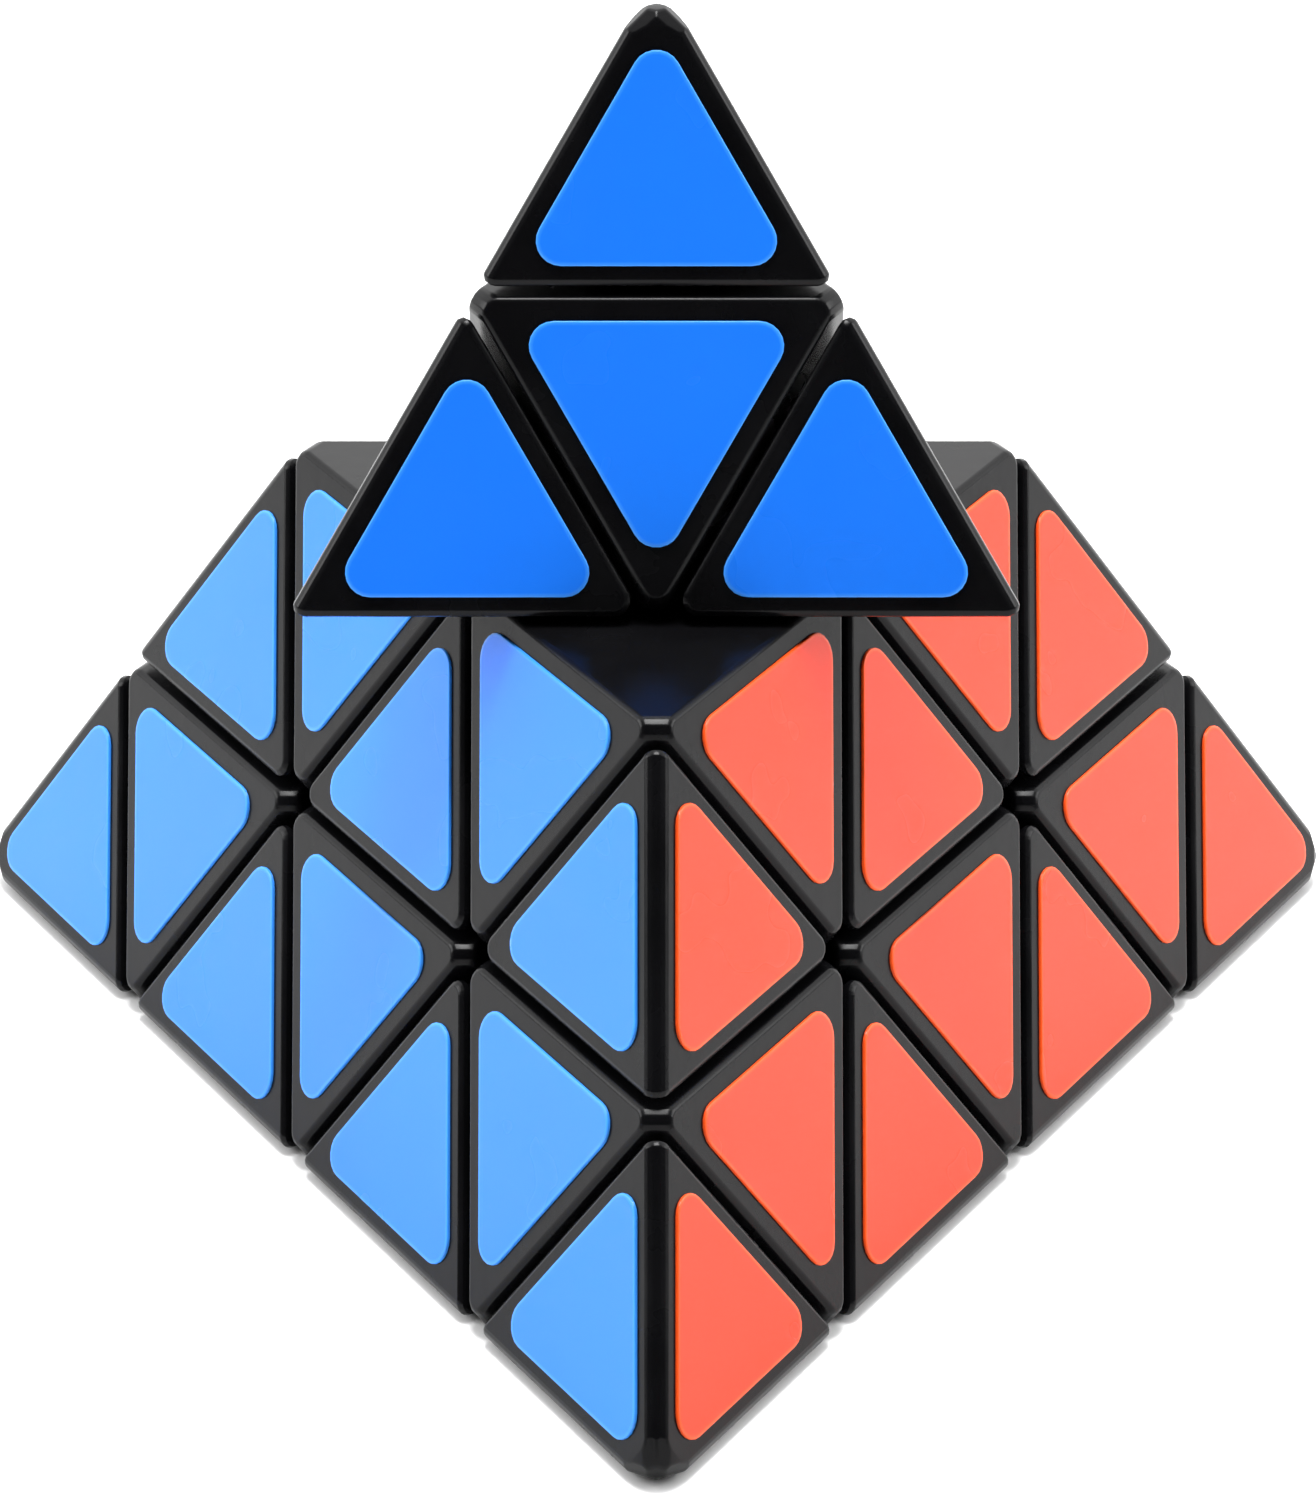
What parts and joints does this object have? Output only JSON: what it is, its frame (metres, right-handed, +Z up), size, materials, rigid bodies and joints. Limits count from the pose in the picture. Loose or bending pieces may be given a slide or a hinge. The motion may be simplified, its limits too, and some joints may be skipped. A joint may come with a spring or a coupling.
{
  "type": "pyramid twisty puzzle",
  "caption": "Pyramid-shaped twisty puzzle with four layers: black pieces with coloured triangular stickers turn about the four corner axes.",
  "frame": {"origin": "middle of the face that the puzzle stands on, on the outside of its stickers", "axes": "+Z up through the top corner, -Y towards the front corner of the base, +X to the right when seen from the front"},
  "size_m": [0.094, 0.082, 0.077],
  "materials": {
    "black_plastic": "satin black moulded plastic",
    "core_plastic": "plain moulded plastic",
    "steel": "zinc-plated steel",
    "sticker_blue": "glossy vinyl sticker",
    "sticker_orange": "glossy vinyl sticker",
    "sticker_green": "glossy vinyl sticker",
    "sticker_yellow": "glossy vinyl sticker",
    "tip_stickers": "glossy vinyl stickers of three colours, one on each facet of a tip"
  },
  "bodies": {
    "centre": {"core": "core_plastic", "screws": "steel", "springs": "steel", "washers": "steel", "corner_cap_top": "black_plastic", "corner_cap_front": "black_plastic", "corner_cap_right": "black_plastic", "corner_cap_left": "black_plastic", "mid_edge_front_top": "black_plastic", "mid_edge_right_top": "black_plastic", "mid_edge_left_top": "black_plastic", "mid_edge_front_left": "black_plastic", "mid_edge_front_right": "black_plastic", "mid_edge_right_left": "black_plastic", "face_centre_yellow": "black_plastic", "face_centre_green": "black_plastic", "face_centre_blue": "black_plastic", "face_centre_orange": "black_plastic", "centre_stickers_yellow": "sticker_yellow", "centre_stickers_green": "sticker_green", "centre_stickers_blue": "sticker_blue", "centre_stickers_orange": "sticker_orange"},
    "top_group": {"top_axial": "black_plastic", "top_wing_1": "black_plastic", "top_wing_2": "black_plastic", "top_wing_3": "black_plastic", "top_stickers_green": "sticker_green", "top_stickers_blue": "sticker_blue", "top_stickers_orange": "sticker_orange"},
    "top_tip_body": {"top_tip": "black_plastic", "top_tip_stickers": "tip_stickers"},
    "front_group": {"front_axial": "black_plastic", "front_wing_1": "black_plastic", "front_wing_2": "black_plastic", "front_wing_3": "black_plastic", "front_stickers_yellow": "sticker_yellow", "front_stickers_orange": "sticker_orange", "front_stickers_blue": "sticker_blue"},
    "front_tip_body": {"front_tip": "black_plastic", "front_tip_stickers": "tip_stickers"},
    "right_group": {"right_axial": "black_plastic", "right_wing_1": "black_plastic", "right_wing_2": "black_plastic", "right_wing_3": "black_plastic", "right_stickers_yellow": "sticker_yellow", "right_stickers_green": "sticker_green", "right_stickers_orange": "sticker_orange"},
    "right_tip_body": {"right_tip": "black_plastic", "right_tip_stickers": "tip_stickers"},
    "left_group": {"left_axial": "black_plastic", "left_wing_1": "black_plastic", "left_wing_2": "black_plastic", "left_wing_3": "black_plastic", "left_stickers_yellow": "sticker_yellow", "left_stickers_blue": "sticker_blue", "left_stickers_green": "sticker_green"},
    "left_tip_body": {"left_tip": "black_plastic", "left_tip_stickers": "tip_stickers"}
  },
  "joints": [
    {"name": "top_two_layer_turn", "type": "hinge", "parent": "centre", "child": "top_group", "pos_m": [0, 0, 0.0202], "axis": [0, 0, 1], "continuous": true},
    {"name": "front_two_layer_turn", "type": "hinge", "parent": "centre", "child": "front_group", "pos_m": [0, 0, 0.0202], "axis": [0, -0.9428, -0.3333], "continuous": true},
    {"name": "right_two_layer_turn", "type": "hinge", "parent": "centre", "child": "right_group", "pos_m": [0, 0, 0.0202], "axis": [0.8165, 0.4714, -0.3333], "continuous": true},
    {"name": "left_two_layer_turn", "type": "hinge", "parent": "centre", "child": "left_group", "pos_m": [0, 0, 0.0202], "axis": [-0.8165, 0.4714, -0.3333], "continuous": true},
    {"name": "top_tip_turn", "type": "hinge", "parent": "top_group", "child": "top_tip_body", "pos_m": [0, 0, 0.0202], "axis": [0, 0, 1], "continuous": true},
    {"name": "front_tip_turn", "type": "hinge", "parent": "front_group", "child": "front_tip_body", "pos_m": [0, 0, 0.0202], "axis": [0, -0.9428, -0.3333], "continuous": true},
    {"name": "right_tip_turn", "type": "hinge", "parent": "right_group", "child": "right_tip_body", "pos_m": [0, 0, 0.0202], "axis": [0.8165, 0.4714, -0.3333], "continuous": true},
    {"name": "left_tip_turn", "type": "hinge", "parent": "left_group", "child": "left_tip_body", "pos_m": [0, 0, 0.0202], "axis": [-0.8165, 0.4714, -0.3333], "continuous": true}
  ]
}
